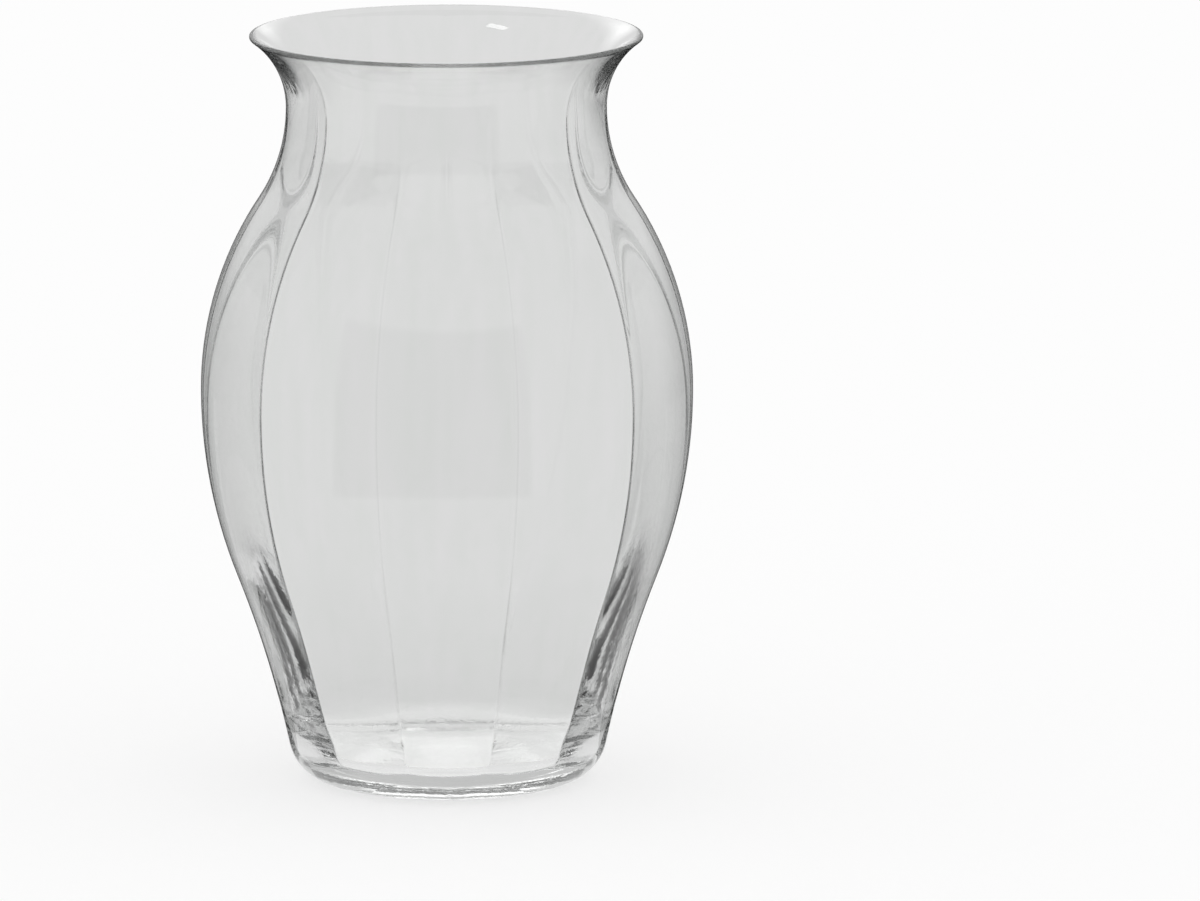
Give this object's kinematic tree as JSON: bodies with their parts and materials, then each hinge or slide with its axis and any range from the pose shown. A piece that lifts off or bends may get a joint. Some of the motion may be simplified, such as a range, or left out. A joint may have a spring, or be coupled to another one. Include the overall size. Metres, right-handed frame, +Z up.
{
  "type": "flower vase",
  "caption": "Clear glass urn vase with a flared lip, waisted neck, round belly and thick base, its inside pressed into flat upright panels.",
  "frame": {"origin": "middle of the ring that the vase stands on, at the surface it stands on", "axes": "+Z up along the vase's axis, +X to the right and +Y away seen from the front"},
  "size_m": [0.1632, 0.1632, 0.25],
  "materials": {
    "clear_glass": "clear, fire-polished, smooth outside with shallow panels pressed into the inside"
  },
  "bodies": {
    "root": {"glass_vase": "clear_glass"}
  },
  "joints": []
}
